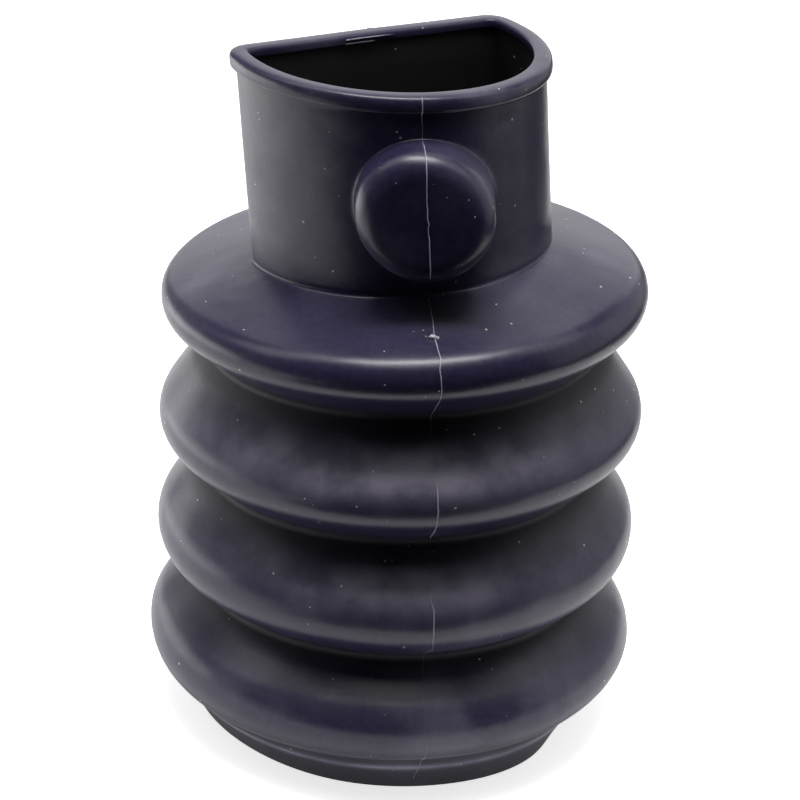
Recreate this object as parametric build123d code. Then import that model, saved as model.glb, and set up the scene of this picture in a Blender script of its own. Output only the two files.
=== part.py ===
from build123d import *
from math import asin, cos, degrees, radians, sin, sqrt, tan
import os

# A one-piece moulded rubber bellows boot, in millimetres.
# The origin is at the centre of the round cuff's lower face. +Z runs up the bellows axis,
# and -Y is the front, where the round blister stands on the neck.

# ---- walls ----
bellows_wall = 2.0
neck_wall = 1.7

# ---- round cuff at the lower end ----
cuff_bore_radius = 28.5
cuff_bore_length = 6.0
cuff_foot_width = 2.5
cuff_wall = 3.7
cuff_top_inset = 4.0
cuff_bevel_height = 2.4
cuff_edge_rounding = 0.5

# ---- bellows folds, counted from the cuff up ----
base_crest_radius = 38.3
middle_crest_radius = 37.3
top_crest_radius = 37.1
base_crest_height = 12.8
base_fold_pitch = 18.6
middle_fold_pitch = 19.0
top_fold_pitch = 19.5
base_crest_rounding = 6.3
middle_crest_rounding = 6.0
top_crest_rounding = 3.8
valley_radius = 30.6
base_valley_rise = 9.8
middle_valley_rise = 10.6
top_valley_rise = 11.7
valley_rounding = 1.0

# ---- flange: the upper side of the top fold ----
flange_slope = 17.8

# ---- D-shaped neck, turned from the front and leaning to the left under a level mouth ----
neck_turn = 31.0
neck_lean = 7.3
neck_setback = 1.0
neck_front_radius = 23.2
neck_side_inset = 0.3
neck_flat_offset = 6.4
neck_side_rounding = 9.5
neck_back_rounding = 2.9
neck_length = 38.2
neck_root_fillet = 0.7

# ---- rolled lip round the mouth, with a narrow land inside it ----
lip_proud = 0.9
lip_height = 2.6
lip_rounding = 1.1
land_step = 0.4
land_height = 1.3

# ---- closed round blister on the front of the neck, hollow from inside ----
blister_radius = 10.0
blister_flare = 0.4
blister_reach = 5.5
blister_side = 4.1
blister_height = 21.5
blister_edge_rounding = 3.4
blister_wall = 1.7
blister_root_fillet = 0.7

# ---- radii and heights worked out from the values above ----
cuff_foot_radius = cuff_bore_radius + cuff_foot_width
cuff_wall_radius = cuff_bore_radius + cuff_wall
cuff_top_radius = base_crest_radius - cuff_top_inset
neck_half_width = neck_front_radius - neck_side_inset
neck_slide = -tan(radians(neck_lean))
third_crest_height = base_crest_height + base_fold_pitch
second_crest_height = third_crest_height + middle_fold_pitch
top_crest_height = second_crest_height + top_fold_pitch
crests = [
    (base_crest_radius, base_crest_height, base_crest_rounding),
    (middle_crest_radius, third_crest_height, middle_crest_rounding),
    (middle_crest_radius, second_crest_height, middle_crest_rounding),
    (top_crest_radius, top_crest_height, top_crest_rounding),
]
valley_heights = [
    base_crest_height + base_valley_rise,
    third_crest_height + middle_valley_rise,
    second_crest_height + top_valley_rise,
]


def fold_arcs(inset):
    """Centre and radius of each rounded crest and valley, going up from the cuff."""
    ridges = [(Vector(radius - turn, 0, height), turn - inset) for radius, height, turn in crests]
    valley_centre = valley_radius + valley_rounding
    grooves = [(Vector(valley_centre, 0, height), valley_rounding + inset) for height in valley_heights]
    pairs = [arc for pair in zip(ridges, grooves) for arc in pair]
    return [*pairs, ridges[-1]]


def flank(lower, upper, sense):
    """Ends of the straight flank that touches two neighbouring arcs on opposite sides."""
    gap = upper[0] - lower[0]
    swing = degrees(asin((lower[1] + upper[1]) / gap.length)) * sense
    outwards = gap.normalized().rotate(Axis.Y, 90 - swing) * sense
    return lower[0] + outwards * lower[1], upper[0] - outwards * upper[1]


def arc_between(centre, rounding, start, end):
    """The arc about a centre from one point to another, the short way round."""
    bulge = ((start + end) / 2 - centre).normalized() * rounding
    return ThreePointArc(start, centre + bulge, end)


def folds(arcs, touch):
    """Folds and flange from a point on the base crest up to the axis."""
    lines = []
    for index, (lower, upper) in enumerate(zip(arcs, arcs[1:])):
        leave, reach = flank(lower, upper, 1 if index % 2 == 0 else -1)
        lines.append(arc_between(*lower, touch, leave))
        lines.append(Line(leave, reach))
        touch = reach
    top, rounding = arcs[-1]
    slope = radians(flange_slope)
    shoulder = top + Vector(sin(slope), 0, cos(slope)) * rounding
    peak = (0, 0, shoulder.Z + shoulder.X * tan(slope))
    return [*lines, arc_between(top, rounding, touch, shoulder), Line(shoulder, peak)]


def outer_section():
    """Half section inside the outer face, with the bevelled cuff under the folds."""
    arcs = fold_arcs(0)
    base, rounding = arcs[0]
    drop = sqrt(rounding ** 2 - (cuff_top_radius - base.X) ** 2)
    touch = Vector(cuff_top_radius, 0, base.Z - drop)
    foot = Vector(cuff_foot_radius, 0, 0)
    knuckle = Vector(cuff_wall_radius, 0, cuff_bevel_height)
    cuff = FilletPolyline((0, 0, 0), foot, knuckle, touch, radius=cuff_edge_rounding)
    lines = [*cuff.edges(), *folds(arcs, touch)]
    return make_face([*lines, Line(lines[-1] @ 1, (0, 0, 0))])


def cavity_section():
    """Half section of the hollow, which spreads from the cuff's bore into the base fold."""
    arcs = fold_arcs(bellows_wall)
    base, rounding = arcs[0]
    brim = Vector(cuff_bore_radius, 0, cuff_bore_length)
    gap = base - brim
    swing = 90 - degrees(asin(rounding / gap.length))
    touch = base + gap.normalized().rotate(Axis.Y, 180 - swing) * rounding
    floor = Polyline((0, 0, 0), (cuff_bore_radius, 0, 0), brim, touch)
    lines = [*floor.edges(), *folds(arcs, touch)]
    return make_face([*lines, Line(lines[-1] @ 1, (0, 0, 0))])


def neck_outline(inset):
    """The D of the neck, flat at the back, with every side moved inwards by inset."""
    front = neck_front_radius - inset
    side = neck_half_width - inset
    flat = neck_flat_offset - inset
    rounding = neck_side_rounding - inset
    depth = sqrt((front - rounding) ** 2 - (side - rounding) ** 2)
    touch = Vector(side - rounding, -depth) * front / (front - rounding)
    corners = [(-side, -depth), (-side, flat), (side, flat), (side, -depth)]
    back = FilletPolyline(*corners, radius=neck_back_rounding - inset)
    right = TangentArc((side, -depth), (touch.X, touch.Y), tangent=(0, -1))
    left = TangentArc((-side, -depth), (-touch.X, touch.Y), tangent=(0, -1))
    bow = ThreePointArc((-touch.X, touch.Y), (0, -front), (touch.X, touch.Y))
    return make_face([*back.edges(), right, left, bow])


def neck_prism(inset, low, high):
    """The D, turned to its place, sliding to the left as it rises between two heights."""
    outline = Rot(0, 0, neck_turn) * Pos(0, neck_setback) * neck_outline(inset)
    climb = Vector(neck_slide, 0, 1)
    return extrude(Pos(climb * low) * outline, (high - low) * climb.length, dir=climb)


def rolled_lip():
    """The proud band at the top of the neck, rounded above and below."""
    low = neck_length - lip_height
    band = neck_prism(-lip_proud, low, neck_length)
    return fillet(band.edges().group_by(Axis.Z)[0] + band.edges().group_by(Axis.Z)[-1], lip_rounding)


def blister_plug(radius, root, face, rounding):
    """A round plug that points to the front, wider by its flare where it leaves the neck."""
    height = face - root
    plug = Cone(radius + blister_flare, radius, height, align=(Align.CENTER, Align.CENTER, Align.MIN))
    rim = plug.edges().filter_by(GeomType.CIRCLE).sort_by(Axis.Z)[-1]
    place = Pos(blister_height * neck_slide + blister_side, -root, blister_height)
    return place * Rot(90, 0, 0) * fillet(rim, rounding)


# Outer form: bellows with its seam behind the flat of the neck, leaning neck with its lip, and blister
bellows = Rot(0, 0, neck_turn + 90) * revolve(outer_section(), Axis.Z)
seat = Pos(0, 0, top_crest_height)
blister_root = sqrt(neck_front_radius**2 - (blister_side + blister_radius) ** 2) - 2 * neck_wall
blister_face = neck_front_radius + blister_reach
blister = blister_plug(blister_radius, blister_root, blister_face, blister_edge_rounding)
tube = neck_prism(0, 0, neck_length - lip_height / 2)
neck = tube + blister
neck = fillet(new_edges(tube, blister, combined=neck), blister_root_fillet)
neck = seat * (neck + rolled_lip())
outside = bellows + neck
outside = fillet(new_edges(bellows, neck, combined=outside), neck_root_fillet)

# Inner form: cavity with the cuff's bore, neck passage, mouth and the hollow of the blister
cavity = revolve(cavity_section(), Axis.Z)
passage = neck_prism(neck_wall, 0, neck_length - land_height)
mouth = neck_prism(neck_wall + land_step, 0, neck_length + lip_height)
pocket = blister_plug(
    blister_radius - blister_wall,
    blister_root - neck_wall,
    blister_face - blister_wall,
    blister_edge_rounding - blister_wall,
)
boot = outside - cavity - seat * (passage + mouth + pocket)

os.makedirs("parts", exist_ok=True)
export_step(boot, "parts/bellows_boot.step")
print("solids", len(boot.solids()), "volume", round(boot.volume), boot.bounding_box())
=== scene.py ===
from math import acos, atan2, ceil, cos, hypot, pi, radians, sin, tan

import bpy
import numpy as np
from mathutils import Matrix, Vector, noise


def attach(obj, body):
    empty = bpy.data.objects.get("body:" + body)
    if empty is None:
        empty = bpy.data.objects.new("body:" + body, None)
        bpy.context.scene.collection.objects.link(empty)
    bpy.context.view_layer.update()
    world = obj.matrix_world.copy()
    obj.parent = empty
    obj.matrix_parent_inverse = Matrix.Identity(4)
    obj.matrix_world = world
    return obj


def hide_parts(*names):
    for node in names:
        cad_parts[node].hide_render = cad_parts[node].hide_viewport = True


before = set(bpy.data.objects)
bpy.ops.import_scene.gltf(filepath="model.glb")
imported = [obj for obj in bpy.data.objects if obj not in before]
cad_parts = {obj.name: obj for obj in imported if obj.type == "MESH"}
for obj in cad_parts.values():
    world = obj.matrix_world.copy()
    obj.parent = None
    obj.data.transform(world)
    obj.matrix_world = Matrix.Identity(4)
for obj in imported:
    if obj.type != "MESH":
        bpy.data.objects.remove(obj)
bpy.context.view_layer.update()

# ---------------------------------------------------------------- bellows boot
# The boot is one compression moulding of soft synthetic rubber, blue-black with a satin face.
# Its skin here is one closed sheet of loops: up the outside from the cuff, over the rolled lip
# of the neck, and back down the inside. Lengths are in millimetres until the mesh is made.
mm = 0.001
around = 252

bellows_wall = 2.0
cuff_bore_radius = 28.5
cuff_bore_length = 6.0
cuff_foot_radius = 30.9
cuff_knuckle = (31.9, 2.1)
cuff_top_radius = 34.2
cuff_bore_rounding = 0.35
cuff_foot_rounding = 0.4
cuff_knuckle_rounding = 0.35
cuff_groove_rounding = 0.25
crest_radii = [38.15, 37.3, 37.25, 36.95]
crest_heights = [12.8, 31.4, 50.4, 69.9]
crest_roundings = [6.3, 6.6, 5.1, 3.8]
valley_radius = 30.6
valley_heights = [22.6, 42.05, 62.15]
valley_rounding = 1.0
brim_rounding = 0.8
flange_slope = radians(17.8)

heading = np.linspace(0, 2 * pi, around, endpoint=False)
sideways = np.where(heading > pi, heading - 2 * pi, heading)


def loop(radius, height):
    """One loop of the skin. Heading 0 is the front, and the loop goes towards the right."""
    radius = radius + 0 * heading
    return np.stack([radius * np.sin(heading), -radius * np.cos(heading), height + 0 * heading], 1)


def rounded(corners, roundings, steps=4):
    """A line through corners, each eased by its own rounding."""
    line = [np.array(corners[0], float)]
    for before, corner, after, rounding in zip(corners, corners[1:], corners[2:], roundings):
        before, corner, after = (np.array(p, float) for p in (before, corner, after))
        back = (before - corner) / np.linalg.norm(before - corner)
        ahead = (after - corner) / np.linalg.norm(after - corner)
        reach = rounding / tan(acos(np.clip(back @ ahead, -1, 1)) / 2)
        for t in np.linspace(0, 1, steps + 1):
            chord = (1 - t) ** 2 * back + t ** 2 * ahead
            line.append(corner + reach * chord)
    return line + [np.array(corners[-1], float)]


def filled(line, longest_step):
    """The same line with extra points along its long straight stretches."""
    dense = [line[0]]
    for start, end in zip(line, line[1:]):
        count = ceil(np.linalg.norm(end - start) / longest_step)
        dense += [start + (end - start) * k / count for k in range(1, count + 1)]
    return dense


def fold_turns(inset):
    """Centre and rounding of each crest, and of each valley as a negative rounding."""
    turns = []
    for radius, height, rounding in zip(crest_radii, crest_heights, crest_roundings):
        turns.append((np.array([radius - rounding, height]), rounding - inset))
    for fold, height in enumerate(valley_heights):
        valley = np.array([valley_radius + valley_rounding, height])
        turns.insert(2 * fold + 1, (valley, -valley_rounding - inset))
    return turns


def fold_line(inset, first_bearing, arc_step, longest_step):
    """Radius and height up the folds, from a bearing on the base crest to the flange."""
    turns = fold_turns(inset)
    bearings = [first_bearing]
    for (low, below), (high, above) in zip(turns, turns[1:]):
        gap = high - low
        bearings.append(atan2(gap[1], gap[0]) - acos((below - above) / hypot(*gap)))
    bearings.append(pi / 2 - flange_slope)
    line = []
    for (centre, rounding), begin, end in zip(turns, bearings, bearings[1:]):
        count = max(4, ceil(abs(end - begin) / arc_step))
        for bearing in np.linspace(begin, end, count + 1):
            line.append(centre + rounding * np.array([cos(bearing), sin(bearing)]))
    return filled(line, longest_step)


# The cuff: a bevelled foot, a short tapering wall and the groove under the base fold.
base_centre, base_rounding = fold_turns(0)[0]
groove_bearing = -acos((cuff_top_radius - base_centre[0]) / base_rounding)
outer_folds = fold_line(0, groove_bearing, arc_step=radians(9), longest_step=1.9)
cuff_corners = [(cuff_bore_radius, cuff_bore_length / 2), (cuff_bore_radius, 0),
                (cuff_foot_radius, 0), cuff_knuckle, outer_folds[0], outer_folds[1]]
cuff_roundings = [cuff_bore_rounding, cuff_foot_rounding, cuff_knuckle_rounding,
                  cuff_groove_rounding]
cuff_line = filled(rounded(cuff_corners, cuff_roundings), longest_step=0.6)
hollow_centre, hollow_rounding = fold_turns(bellows_wall)[0]
brim = np.array([cuff_bore_radius, cuff_bore_length])
brim_gap = hollow_centre - brim
brim_bearing = atan2(brim_gap[1], brim_gap[0]) - acos(-hollow_rounding / hypot(*brim_gap))
inner_folds = fold_line(bellows_wall, brim_bearing, arc_step=radians(20), longest_step=4.0)
throat_line = rounded([inner_folds[0], brim, (cuff_bore_radius, cuff_bore_length / 2)],
                      [brim_rounding])

# The neck: a D with its flat at the back left, set on the flange.
neck_turn = radians(31)
neck_bow_radius = 23.05
neck_flat_offset = 6.2
neck_back_rounding = 2.9
neck_flare = 0.4
neck_setback = 1.1
neck_wall = 1.7
neck_length = 38.1
neck_root_fillet = 0.4
neck_base = crest_heights[-1]
arc_samples = 100
flat_samples = 60


def neck_radius(inset):
    """Distance from the axis to the D at every heading, with its sides moved inwards by inset."""
    back = neck_flat_offset - neck_back_rounding
    corner = ((neck_bow_radius - neck_back_rounding) ** 2 - back ** 2) ** 0.5
    meet = atan2(back, corner)
    arcs = [(0, 0, neck_bow_radius, -pi / 2, meet), (corner, back, neck_back_rounding, meet, pi / 2)]
    line = []
    for x, y, rounding, start, end in arcs:
        for bearing in np.linspace(start, end, arc_samples):
            line.append((x + (rounding - inset) * cos(bearing), y + (rounding - inset) * sin(bearing)))
    flat = [(x, neck_flat_offset - inset) for x in np.linspace(corner, 0, flat_samples)[1:]]
    half = np.array(line + flat) + [0, neck_setback]
    bearing = np.arctan2(half[:, 0], -half[:, 1])
    reach = np.hypot(half[:, 0], half[:, 1])
    turned = np.abs((heading - neck_turn + pi) % (2 * pi) - pi)
    return np.interp(turned, bearing, reach)


def flange_height(radius, inset):
    """Height of the flange's face, or of its underside, at a distance from the axis."""
    centre, rounding = fold_turns(inset)[-1]
    edge = centre + rounding * np.array([sin(flange_slope), cos(flange_slope)])
    return edge[1] + (edge[0] - radius) * tan(flange_slope)


def flange_rows(inset, wall_inset, flange_loops, fillet_loops=4):
    """Loops from the flange's rounded edge in to the foot of the neck's wall."""
    centre, rounding = fold_turns(inset)[-1]
    edge = centre[0] + rounding * sin(flange_slope)
    foot = neck_radius(wall_inset - neck_root_fillet)
    rows = []
    for share in np.linspace(0, 1, flange_loops + 1)[1:]:
        radius = edge + (foot - edge) * share
        rows.append(loop(radius, flange_height(radius, inset)))
    for turn in np.linspace(0, pi / 2, fillet_loops + 1)[1:]:
        radius = neck_radius(wall_inset - neck_root_fillet * (1 - sin(turn)))
        rise = neck_root_fillet * (1 - cos(turn))
        rows.append(loop(radius, flange_height(radius, inset) + rise))
    return rows


# The blister: a closed round boss moulded on the front of the neck, hollow from inside. Its
# column is the place on each loop that lies behind its middle.
blister_height = 21.45
blister_side = 4.1
blister_column = 8
blister_face = 28.7
blister_radius = 10.0
blister_flare = 0.1
blister_edge = 3.4
blister_root_fillet = 0.4
blister_hollow_fillet = 0.5
blister_wall = 1.7
front_spread = radians(80)


def blister_rings(radius, edge, root, cap_rings, edge_rings=9, wall_rings=3, root_rings=3):
    """Rings from the middle of the blister out: distance, lift off the wall, rise and crown.
    Rise is the share of the way from the wall to the shoulder, and crown is the rest."""
    rings = [((radius - edge) * k / cap_rings, root, 1, edge) for k in range(cap_rings)]
    for turn in np.linspace(0, pi / 2, edge_rings):
        rings.append((radius - edge + edge * sin(turn), root, 1, edge * cos(turn)))
    for share in np.linspace(0, 1, wall_rings + 1)[1:]:
        rings.append((radius + blister_flare * share, root, 1 - share, 0))
    for turn in np.linspace(0, pi / 2, root_rings + 1)[1:]:
        spread = radius + blister_flare + root * (1 - cos(turn))
        rings.append((spread, root * (1 - sin(turn)), 0, 0))
    return rings


def neck_rows(inset, low, high, rings, face, half_height, blend):
    """Loops up one face of the neck from low, given at each heading, to high. A square patch of
    them is drawn into the blister's rings, and blend more rings ease the patch into the loops."""
    radius = neck_radius(inset)
    front = np.argsort(sideways)
    front = front[np.abs(sideways[front]) < front_spread]
    wall_x = radius * np.sin(heading)
    wall_y = radius * np.cos(heading)
    centre = neck_base + blister_height
    half = len(rings) - 1 + blend
    heights = list(np.linspace(low[0], centre - half_height, 4)[1:-1])
    first = len(heights)
    offsets = np.interp(range(half + 1), [0, len(rings) - 1, half], [0, rings[-1][0], half_height])
    heights += [centre - offset for offset in offsets[:0:-1]] + [centre + offset for offset in offsets]
    rows = []
    for height in heights:
        level = low + (high - low) * (height - low[0]) / (high - low[0])
        rows.append(loop(radius + neck_flare * (level - neck_base) / neck_length, level))
    shoulder = face - rings[0][3]
    for j in range(-half, half + 1):
        for i in range(-half, half + 1):
            ring = max(abs(i), abs(j))
            if ring == half:
                continue
            column = (blister_column + i) % around
            distance, lift, rise, crown = rings[min(ring, len(rings) - 1)]
            if abs(i) > abs(j):
                bearing = pi / 4 * j / i + (pi if i < 0 else 0)
            else:
                bearing = pi / 2 - pi / 4 * i / (j or 1) + (pi if j < 0 else 0)
            x = blister_side + distance * cos(bearing)
            z = centre + distance * sin(bearing)
            away = max(0, ring - len(rings) + 1) / blend
            x += (wall_x[column] - x) * away
            z += (heights[first + half + j] - z) * away
            wall = np.interp(x, wall_x[front], wall_y[front])
            wall += neck_flare * (z - neck_base) / neck_length
            y = wall + lift + (shoulder - wall - lift) * rise + crown
            rows[first + half + j][column] = (x, -y, z)
    return rows


# The rolled lip round the mouth, with a narrow land and a small step inside it. The line holds
# insets from the neck's outside and heights above its base.
lip_low = 35.65
lip_proud = 0.9
lip_lead = 0.9
land_inset = 1.9
land_end = neck_length - 1.3
step_inset = 1.5
step_start = neck_length - 1.4
step_end = neck_length - 2.4
lip_root_rounding = 0.3
lip_under_rounding = 0.6
lip_top_rounding = 1.15
mouth_rounding = 0.6
step_rounding = 0.15
lip_corners = [(0, lip_low - lip_lead), (0, lip_low), (-lip_proud, lip_low), (-lip_proud, neck_length),
               (land_inset, neck_length), (land_inset, land_end), (step_inset, step_start),
               (step_inset, step_end)]
lip_roundings = [lip_root_rounding, lip_under_rounding, lip_top_rounding, mouth_rounding,
                 step_rounding, step_rounding]
lip_line = filled(rounded(lip_corners, lip_roundings), longest_step=1.0)


def skin_rows():
    """Every loop of the skin in order, from inside the cuff round to inside the cuff again."""
    outer_root = neck_radius(-neck_root_fillet)
    outer_low = flange_height(outer_root, 0) + neck_root_fillet
    inner_root = neck_radius(neck_wall - neck_root_fillet)
    inner_low = flange_height(inner_root, bellows_wall) + neck_root_fillet
    outer_high = neck_base + lip_line[0][1]
    inner_high = neck_base + lip_line[-1][1]
    outer_rings = blister_rings(blister_radius, blister_edge, blister_root_fillet, cap_rings=9)
    inner_rings = blister_rings(blister_radius - blister_wall, blister_edge - blister_wall,
                                blister_hollow_fillet, cap_rings=5)
    rows = [loop(*point) for point in cuff_line[:-1]]
    rows += [loop(*point) for point in outer_folds[1:]]
    rows += flange_rows(0, 0, flange_loops=12)
    rows += neck_rows(0, outer_low, outer_high, outer_rings, blister_face, half_height=12.2, blend=6)
    for inset, height in lip_line:
        rows.append(loop(neck_radius(inset) + neck_flare * height / neck_length, neck_base + height))
    inner = flange_rows(bellows_wall, neck_wall, flange_loops=5)
    inner += neck_rows(neck_wall, inner_low, inner_high, inner_rings, blister_face - blister_wall,
                       half_height=11.0, blend=4)
    rows += inner[::-1]
    rows += [loop(*point) for point in inner_folds[:0:-1]]
    rows += [loop(*point) for point in throat_line[1:-1]]
    return np.array(rows)


# The soft folds have settled to the left, and the neck slides after them under a level mouth.
# Each station is a height, the lean there in degrees and the drift to the left.
stations = [
    (0, 0, -0.2), (2.3, 0, 0.1), (6.8, 1.6, 0.1), (crest_heights[0], 1.1, 0),
    (crest_heights[1], 2.3, 0.3), (crest_heights[2], 3.2, 0.7), (valley_heights[2], 3.1, 1.05),
    (neck_base, 4.0, 1.3), (76.5, 5.3, 2.1), (neck_base + neck_length, 0.2, 5.9),
]
settle_heading = radians(1.5)


def settled(places):
    """Points of the straight moulding moved to where the leaning boot has them."""
    x, y, z = places[..., 0], places[..., 1], places[..., 2]
    station_heights, station_leans, station_drifts = zip(*stations)
    lean = np.radians(np.interp(z, station_heights, station_leans))
    drift = np.interp(z, station_heights, station_drifts)
    side, front = cos(settle_heading), -sin(settle_heading)
    across, along = x * side + y * front, y * side - x * front
    rise = across * np.sin(lean)
    across = across * np.cos(lean) - drift
    return np.stack([across * side - along * front, along * side + across * front, z + rise], -1)


# The rubber swells in and out a little, and the cuff's foot is pressed in at two places.
# Each press is a depth, the heading of its middle and its half width.
swell_depth = 0.12
swell_scale = 0.06
foot_presses = [(1.45, radians(66), radians(14)), (0.4, radians(-50), radians(28))]
foot_press_height = 5.0


def near(value, middle, width):
    """A weight that is 1 at the middle and fades away over the width."""
    return np.exp(-((value - middle) / width) ** 2)


def uneven(places):
    """The same points with the swells and the presses of the cuff's foot."""
    swell = [noise.noise(Vector(place) * swell_scale) for place in places.reshape(-1, 3)]
    radius = np.hypot(places[..., 0], places[..., 1])
    bearing = np.arctan2(places[..., 0], -places[..., 1])
    shift = swell_depth * np.array(swell).reshape(radius.shape)
    for depth, middle, width in foot_presses:
        shift -= depth * near(bearing, middle, width) * near(places[..., 2], 0, foot_press_height)
    pressed = places.copy()
    pressed[..., :2] *= (1 + shift / radius)[..., None]
    return pressed


straight = skin_rows()
skin = settled(uneven(straight))
row_count = len(skin)
lip_row = int(np.argmax(skin[:, blister_column, 2]))
corner_index = np.arange(row_count * around).reshape(row_count, around)
right_index = np.roll(corner_index, -1, axis=1)
faces = np.stack([corner_index, right_index, np.roll(right_index, -1, axis=0),
                  np.roll(corner_index, -1, axis=0)], -1).reshape(-1, 4).tolist()
points = [skin.reshape(-1, 3)]
fin_paleness = [np.zeros(row_count * around)]

# The mould's parting line left a thin wavy fin of flash down the front and over the blister.
# Each entry is a distance down the skin from the top of the lip, a heading in degrees, and how
# proud and pale the flash is there. Its paleness is partly torn rubber and partly a painted
# highlight along the fin.
flash_course = [
    (0, 11.5, 0.8), (2, 11, 1.0), (4, 11, 1.0), (5, 11, 0.5), (8, 11.75, 0.5), (10, 12.5, 1.0),
    (13, 13, 1.0), (21, 12.25, 0.9), (24, 12.5, 1.0), (31, 12.25, 1.0), (32, 12, 0.2),
    (44, 9.75, 0.3), (51, 8.5, 1.0), (55, 8.75, 1.0), (57, 8.25, 1.0), (62, 8.25, 0.9),
    (73, 7.5, 0.15), (78, 8.25, 0.3), (80, 8.5, 1.0), (92, 8.75, 1.0), (95, 9, 0.2),
    (100, 8.5, 0.15), (103, 8.25, 0.5), (105, 9, 0.9), (110, 9.25, 0.8), (114, 10, 0.5),
    (119, 9.25, 0.2), (126, 8.25, 0.15), (132, 8.5, 0.2), (137, 9.5, 0.4), (142, 9.5, 0.5),
    (146, 8.25, 0.4),
]
flash_first_row = 2
flash_end = 145.8
flash_half_width = 0.1
flash_height = 0.15
flash_least_size = 0.3
flash_wander = 0.3
flash_raggedness = 0.4
flash_ragged_scale = 0.6
fin_edge_depth = 0.05
fin_root_depth = 0.12


def on_skin(row, degrees_right):
    """The point of the skin on a row at a heading, and the direction out of the skin there."""
    column = degrees_right / 360 * around
    whole = int(column)
    left, right = skin[row, whole % around], skin[row, (whole + 1) % around]
    outward = np.cross(right - left, skin[row + 1, whole % around] - skin[row - 1, whole % around])
    return left + (right - left) * (column - whole), outward / np.linalg.norm(outward)


def add_fin(path, outward, heights, half_widths, paleness):
    """A closed sliver that stands on a path, added to the skin."""
    across = np.cross(np.gradient(path, axis=0), outward)
    across *= (half_widths / np.linalg.norm(across, axis=1))[:, None]
    fin_paleness.append(np.repeat(paleness * np.ones(len(path)), 4))
    ring = [path - across - fin_edge_depth * outward, path - fin_root_depth * outward,
            path + across - fin_edge_depth * outward, path + heights[:, None] * outward]
    first = sum(len(block) for block in points)
    points.append(np.stack(ring, 1).reshape(-1, 3))
    for k in range(len(path) - 1):
        for c in range(4):
            here, ahead = first + 4 * k, first + 4 * k + 4
            faces.append([here + c, here + (c + 1) % 4, ahead + (c + 1) % 4, ahead + c])
    last = first + 4 * len(path) - 4
    faces.append([first + 3, first + 2, first + 1, first])
    faces.append([last, last + 1, last + 2, last + 3])


steps = np.linalg.norm(np.diff(skin[:lip_row + 1, blister_column], axis=0), axis=1)
below_lip = np.append(np.cumsum(steps[::-1])[::-1], 0)
flash_rows = [row for row in range(flash_first_row, lip_row) if below_lip[row] < flash_end]
flash_distance, flash_heading, flash_strength = (np.array(column) for column in zip(*flash_course))
flash_heading = np.interp(below_lip, flash_distance, flash_heading)
flash_strength = np.interp(below_lip, flash_distance, flash_strength)[flash_rows]
ragged = np.array([noise.noise(Vector((0, 0, below_lip[row] * flash_ragged_scale)))
                   for row in flash_rows])
foot_points, foot_outward = zip(*[on_skin(row, flash_heading[row] + flash_wander * wave)
                                  for row, wave in zip(flash_rows, ragged)])
flash_size = flash_least_size + (1 - flash_least_size) * flash_strength
flash_size *= 1 + flash_raggedness * ragged
add_fin(np.array(foot_points), np.array(foot_outward), flash_height * flash_size,
        flash_half_width * flash_size, flash_strength)

# A torn tab of flash stands up from the parting line on the flange.
tab_distance = 51.0
tab_heading = 8.4
tab_forward = 0.5
tab_sides = (-0.85, -0.3, 0.25, 0.85)
tab_heights = np.array([0.1, 0.7, 0.55, 0.05])
tab_half_widths = np.array([0.15, 0.45, 0.4, 0.1])
tab_row = int(np.argmin(np.abs(below_lip - tab_distance)))
tab_place, tab_up = on_skin(tab_row, tab_heading)
tab_out = np.cross((1, 0, 0), tab_up)
tab_out *= -np.sign(tab_out[1]) / np.linalg.norm(tab_out)
tab_path = np.array([tab_place + (x, 0, 0) + tab_out * tab_forward for x in tab_sides])
add_fin(tab_path, np.array([tab_up] * len(tab_path)), tab_heights, tab_half_widths, 1)

# Ragged edges of flash run along the inside of the lip at the back, with a burr on the rim.
# Each is a row of the skin, the headings where it starts and ends, a height and a half width.
torn_edges = [(lip_row + 6, 178, 250, 0.45, 0.12), (lip_row + 7, 208, 250, 0.4, 0.1),
              (lip_row - 1, 202, 208, 0.12, 0.15)]
torn_step = 1.3
torn_mean, torn_swing, torn_scale = 0.8, 1.2, 0.7
torn_lowest, torn_highest = 0.03, 0.6
torn_pale_start, torn_pale_turn, torn_pale_rise, torn_palest = 0.1, 185, 0.02, 0.45
for row, start, end, tear, half_width in torn_edges:
    turns = np.arange(start, end, torn_step)
    edge_points, edge_outward = zip(*[on_skin(row, turn) for turn in turns])
    tears = [torn_mean + torn_swing * noise.noise(Vector((k * torn_scale, 3, 0)))
             for k in range(len(turns))]
    paleness = torn_pale_start + torn_pale_rise * (turns - torn_pale_turn)
    add_fin(np.array(edge_points), np.array(edge_outward),
            np.clip(tear * np.array(tears), torn_lowest, torn_highest), half_width,
            np.clip(paleness, 0, torn_palest))

# Two masks set the skin's tone. The first is painted shade: it darkens the grooves of the folds, a
# band low on the base fold, the cuff's wall and all the inside, and paints a shadow on the flange
# under the blister. The second greys the cuff's upper edge, a painted highlight, and the front of
# the folds above their crests, partly bloom and partly painted sheen.
first_fold, last_fold = len(cuff_line) - 1, len(cuff_line) + len(outer_folds) - 2
cuff_rows, fold_rows = slice(0, first_fold), slice(first_fold, last_fold)
flange_span = slice(last_fold, last_fold + 18)
from_axis = np.hypot(straight[..., 0], straight[..., 1])
height_up = straight[..., 2]
groove_radius, groove_fade, groove_shade = 32.8, 2.0, 0.75
base_band_height, base_band_width, base_band_shade = 9.3, 1.2, 0.5
cuff_edge_height, cuff_edge_width, cuff_edge_highlight, cuff_wall_shade = 4.8, 0.55, 0.9, 0.6
blister_shadow_side, blister_shadow_forward, blister_shadow_half_width, blister_shadow_half_depth, blister_shadow_strength = 5.5, 25.5, 6.0, 3.0, 0.8
band_rise, band_width, band_spread = 4.8, 3.4, radians(42)
band_sheen_and_bloom = (0.15, 0.65, 1.2)
inside_start = lip_row + 10

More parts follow.
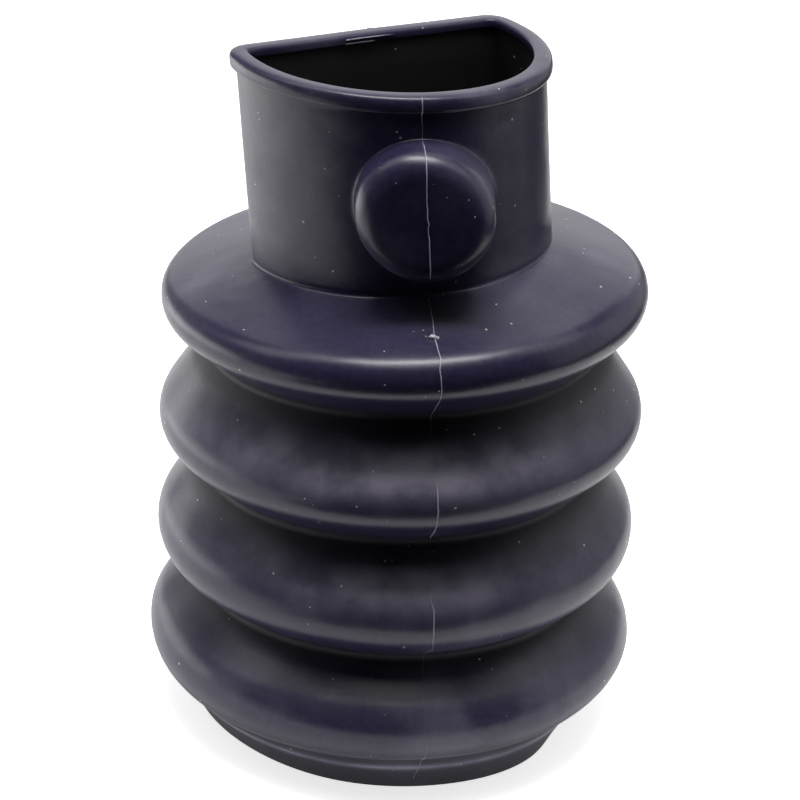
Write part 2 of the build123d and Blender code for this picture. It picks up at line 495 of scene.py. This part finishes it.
painted_shade = np.zeros((row_count, around))
sheen_and_bloom = np.zeros((row_count, around))
# Painted shade in the grooves of the folds and in a band low on the base fold.
painted_shade[fold_rows] = np.clip((groove_radius - from_axis[fold_rows]) / groove_fade, 0, groove_shade)
painted_shade[fold_rows] += base_band_shade * near(height_up[fold_rows], base_band_height, base_band_width)
# A painted highlight along the cuff's upper edge.
cuff_edge = near(height_up[cuff_rows], cuff_edge_height, cuff_edge_width)
sheen_and_bloom[cuff_rows] = cuff_edge_highlight * cuff_edge
# Painted shade on the rest of the cuff.
painted_shade[cuff_rows] = cuff_wall_shade * (1 - cuff_edge)
# A painted shadow on the flange under the blister.
blister_shadow = near(straight[..., 0], blister_shadow_side, blister_shadow_half_width)
blister_shadow *= near(straight[..., 1], -blister_shadow_forward, blister_shadow_half_depth)
painted_shade[flange_span] += blister_shadow_strength * blister_shadow[flange_span]
# Painted shade over all the inside.
painted_shade[inside_start:] = 1
# Painted sheen, partly bloom, on the front of the folds above their crests.
for crest, band_weight in zip(crest_heights, band_sheen_and_bloom):
    band = near(height_up, crest + band_rise, band_width) * near(sideways, 0, band_spread)
    sheen_and_bloom[fold_rows] += band_weight * band[fold_rows]

boot_mesh = bpy.data.meshes.new("bellows_boot_skin")
boot_mesh.from_pydata((np.concatenate(points) * mm).tolist(), [], faces)
boot_mesh.shade_smooth()
fin_count = len(boot_mesh.vertices) - row_count * around
for name, values in (("flash", np.concatenate(fin_paleness)),
                     ("painted_shade_mask", np.append(painted_shade, np.zeros(fin_count))),
                     ("sheen_and_bloom", np.append(sheen_and_bloom, np.zeros(fin_count)))):
    boot_mesh.attributes.new(name, "FLOAT", "POINT").data.foreach_set("value", values)
boot = bpy.data.objects.new("boot", boot_mesh)
bpy.context.scene.collection.objects.link(boot)

# The rubber: blue-black, hazed by bloom, with fine grain, dust and torn flash that is paler partly
# from tearing and partly from a painted highlight. Two masks add painted shade, sheen and highlight.
rubber_colour = (0.021, 0.017, 0.051, 1)
# Near black, for the painted shade.
painted_shade_colour = (0.001, 0.001, 0.002, 1)
# Grey of the bloom, also used for the painted sheen and highlight.
bloom_and_sheen_colour = (0.29, 0.27, 0.35, 1)
flash_colour = (0.50, 0.47, 0.56, 1)
dust_colour = (0.60, 0.56, 0.53, 1)
bloom_share = 0.22
grain_share = 0.035
patchy_sheen_least = 0.35
patchy_sheen_swing = 0.7
dust_density = 500
dust_gaps = 0.4
dust_size = 0.095
smooth_roughness = 0.3
haze_and_sheen_roughness = 0.25
painted_shade_roughness = 0.4
rubber = bpy.data.materials.new("satin_rubber")
rubber.use_nodes = True
tree = rubber.node_tree
finish = tree.nodes["Principled BSDF"]
place = tree.nodes.new("ShaderNodeTexCoord").outputs["Object"]


def clouds(scale, detail, low, high):
    """A smooth mask that is 0 where the noise is under low and 1 where it is over high."""
    cloud = tree.nodes.new("ShaderNodeTexNoise")
    cloud.inputs["Scale"].default_value = scale
    cloud.inputs["Detail"].default_value = detail
    tree.links.new(place, cloud.inputs["Vector"])
    ramp = tree.nodes.new("ShaderNodeMapRange")
    ramp.interpolation_type = "SMOOTHSTEP"
    ramp.inputs["From Min"].default_value = low
    ramp.inputs["From Max"].default_value = high
    tree.links.new(cloud.outputs["Fac"], ramp.inputs["Value"])
    return ramp.outputs["Result"]


def combine(operation, first, second):
    """The result of a Math node on two values, each a socket or a number."""
    node = tree.nodes.new("ShaderNodeMath")
    node.operation = operation
    node.use_clamp = operation == "ADD"
    for socket, value in zip(node.inputs, (first, second)):
        if isinstance(value, (int, float)):
            socket.default_value = value
        else:
            tree.links.new(value, socket)
    return node.outputs["Value"]


def painted(attribute):
    """The value of one of the skin's masks."""
    node = tree.nodes.new("ShaderNodeAttribute")
    node.attribute_name = attribute
    return node.outputs["Fac"]


def tinted(mask, under, over):
    """The colour under a mask, turned to the other colour where the mask is 1."""
    mix = tree.nodes.new("ShaderNodeMix")
    mix.data_type = "RGBA"
    tree.links.new(mask, mix.inputs["Factor"])
    for socket, colour in ((mix.inputs[6], under), (mix.inputs[7], over)):
        if isinstance(colour, tuple):
            socket.default_value = colour
        else:
            tree.links.new(colour, socket)
    return mix.outputs[2]


def bumped(height, strength, distance):
    """A Bump node on a height, in metres."""
    bump = tree.nodes.new("ShaderNodeBump")
    bump.inputs["Strength"].default_value = strength
    bump.inputs["Distance"].default_value = distance
    tree.links.new(height, bump.inputs["Height"])
    return bump


patches = clouds(scale=22, detail=2, low=0.4, high=0.65)
bloom = combine("MULTIPLY", clouds(scale=70, detail=5, low=0.45, high=0.7), patches)
grain = clouds(scale=1100, detail=3, low=0.3, high=0.7)
patchy_sheen = combine("MULTIPLY", clouds(scale=150, detail=5, low=0.3, high=0.75), patchy_sheen_swing)
patchy_sheen = combine("ADD", patchy_sheen, patchy_sheen_least)
haze_and_sheen = combine("ADD", combine("MULTIPLY", bloom, bloom_share), combine("MULTIPLY", grain, grain_share))
# The second mask adds its painted sheen and highlight to the haze.
haze_and_sheen = combine("ADD", haze_and_sheen, combine("MULTIPLY", painted("sheen_and_bloom"), patchy_sheen))

specks = tree.nodes.new("ShaderNodeTexVoronoi")
specks.inputs["Scale"].default_value = dust_density
tree.links.new(place, specks.inputs["Vector"])
chance = tree.nodes.new("ShaderNodeSeparateColor")
tree.links.new(specks.outputs["Color"], chance.inputs["Color"])
speck_size = combine("MULTIPLY", combine("GREATER_THAN", chance.outputs["Red"], dust_gaps),
                     combine("MULTIPLY", chance.outputs["Green"], dust_size))
dust = combine("LESS_THAN", specks.outputs["Distance"], speck_size)

painted_shade_mask = painted("painted_shade_mask")
# Bloom, grain and the painted sheen and highlight grey the rubber.
colour = tinted(haze_and_sheen, rubber_colour, bloom_and_sheen_colour)
# Painted shade turns the colour near black.
colour = tinted(painted_shade_mask, colour, painted_shade_colour)
colour = tinted(painted("flash"), colour, flash_colour)
colour = tinted(dust, colour, dust_colour)
tree.links.new(colour, finish.inputs["Base Color"])
rough = combine("ADD", combine("MULTIPLY", haze_and_sheen, haze_and_sheen_roughness), smooth_roughness)
rough = combine("ADD", combine("MULTIPLY", painted_shade_mask, painted_shade_roughness), rough)
tree.links.new(rough, finish.inputs["Roughness"])
swells = bumped(clouds(scale=110, detail=1, low=0.2, high=0.8), strength=0.5, distance=0.0002)
pores = bumped(grain, strength=0.15, distance=0.00003)
tree.links.new(swells.outputs["Normal"], pores.inputs["Normal"])
tree.links.new(pores.outputs["Normal"], finish.inputs["Normal"])
boot.data.materials.append(rubber)
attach(boot, "root")
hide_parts("bellows_boot")

# ---------------------------------------------------------------- floor and light
# The boot stands on a matt white table, a hair above it. The table ends close in front of the
# boot, a little further out at the left, so that the front of each fold mirrors the dark room.
# It glows faintly towards the boot, and more towards the camera, which sees it white.
table_left = -1.5
table_back = 1.5
table_height = -0.0001
table_right = 0.16
table_front = -0.075
leaf_right = -0.1
leaf_front = -0.16
camera_glow = 0.75
other_glow = 0.33
floor_corners = []
for right, near_edge, far_edge in ((table_right, table_front, table_back),
                                   (leaf_right, leaf_front, table_front)):
    floor_corners += [(table_left, near_edge, table_height), (right, near_edge, table_height),
                      (right, far_edge, table_height), (table_left, far_edge, table_height)]
floor_mesh = bpy.data.meshes.new("floor")
floor_mesh.from_pydata(floor_corners, [], [(0, 1, 2, 3), (4, 5, 6, 7)])
floor = bpy.data.objects.new("floor", floor_mesh)
bpy.context.scene.collection.objects.link(floor)
white_table = bpy.data.materials.new("pale_floor")
white_table.use_nodes = True
table = white_table.node_tree
top = table.nodes["Principled BSDF"]
top.inputs["Base Color"].default_value = (0.85, 0.85, 0.85, 1)
top.inputs["Roughness"].default_value = 0.9
top.inputs["Specular IOR Level"].default_value = 0.0
top.inputs["Emission Color"].default_value = (1, 1, 1, 1)
seen = table.nodes.new("ShaderNodeLightPath")
glow = table.nodes.new("ShaderNodeMapRange")
glow.inputs["To Min"].default_value = other_glow
glow.inputs["To Max"].default_value = camera_glow
table.links.new(seen.outputs["Is Camera Ray"], glow.inputs["Value"])
table.links.new(glow.outputs["Result"], top.inputs["Emission Strength"])
floor.data.materials.append(white_table)

lamp_target = Vector((0, 0, 0.055))


def softbox(name, place, width, height, power):
    """A rectangular lamp at a place, turned to face the middle of the boot."""
    lamp = bpy.data.lights.new(name, "AREA")
    lamp.shape = "RECTANGLE"
    lamp.size, lamp.size_y, lamp.energy = width, height, power
    box = bpy.data.objects.new(name, lamp)
    box.location = place
    box.rotation_euler = (lamp_target - Vector(place)).to_track_quat("-Z", "Y").to_euler()
    bpy.context.scene.collection.objects.link(box)


softbox("over_box", (0, -0.07, 0.75), 0.4, 0.16, 3.3)
softbox("front_top_box", (0, -0.24, 0.71), 0.4, 0.2, 0.55)
softbox("top_left_box", (-0.3, 0, 0.6), 0.3, 0.6, 1.0)
softbox("top_right_box", (0.3, 0, 0.6), 0.3, 0.6, 0.7)
softbox("top_back_box", (0, 0.4, 0.6), 0.6, 0.4, 0.8)
softbox("back_box", (0, 0.8, 0.3), 1.0, 0.5, 1.9)
softbox("left_back_box", (-0.5, 0.4, 0.2), 0.5, 0.5, 0.3)
softbox("low_left_box", (-0.24, 0.07, 0.02), 0.25, 0.12, 0.2)
softbox("right_back_box", (0.5, 0.4, 0.2), 0.5, 0.5, 0.45)
softbox("left_box", (-0.6, 0, 0.15), 0.5, 0.5, 0.15)
softbox("right_box", (0.6, 0, 0.15), 0.5, 0.5, 0.45)

# The world is a dark room that only the camera sees as white.
world = bpy.data.worlds.new("studio")
bpy.context.scene.world = world
world.use_nodes = True
air = world.node_tree
background = air.nodes["Background"]
background.inputs["Color"].default_value = (1, 1, 1, 1)
ray = air.nodes.new("ShaderNodeLightPath")
air.links.new(ray.outputs["Is Camera Ray"], background.inputs["Strength"])

# ---------------------------------------------------------------- camera
# It looks down at the front from a little to the left, at about the boot's own height again
# above it, and is rolled so that the boot stands slightly tilted in the picture.
camera_place = Vector((-0.01127, -0.39984, 0.23917))
camera_heading = radians(1.5)
camera_drop = radians(25.227)
camera_roll = radians(4.2)
camera_forward = Vector((sin(camera_heading) * cos(camera_drop), cos(camera_heading) * cos(camera_drop),
                         -sin(camera_drop)))
lens = bpy.data.cameras.new("camera")
lens.sensor_width = 36
lens.lens = 128.4
camera = bpy.data.objects.new("camera", lens)
level_right = camera_forward.cross(Vector((0, 0, 1))).normalized()
level_up = level_right.cross(camera_forward)
camera_right = level_right * cos(camera_roll) + level_up * sin(camera_roll)
camera_up = camera_right.cross(camera_forward)
camera_turn = Matrix((camera_right, camera_up, -camera_forward)).transposed()
camera.matrix_world = Matrix.Translation(camera_place) @ camera_turn.to_4x4()
bpy.context.scene.collection.objects.link(camera)
bpy.context.scene.camera = camera
bpy.context.scene.view_settings.view_transform = "Standard"

bpy.context.view_layer.update()
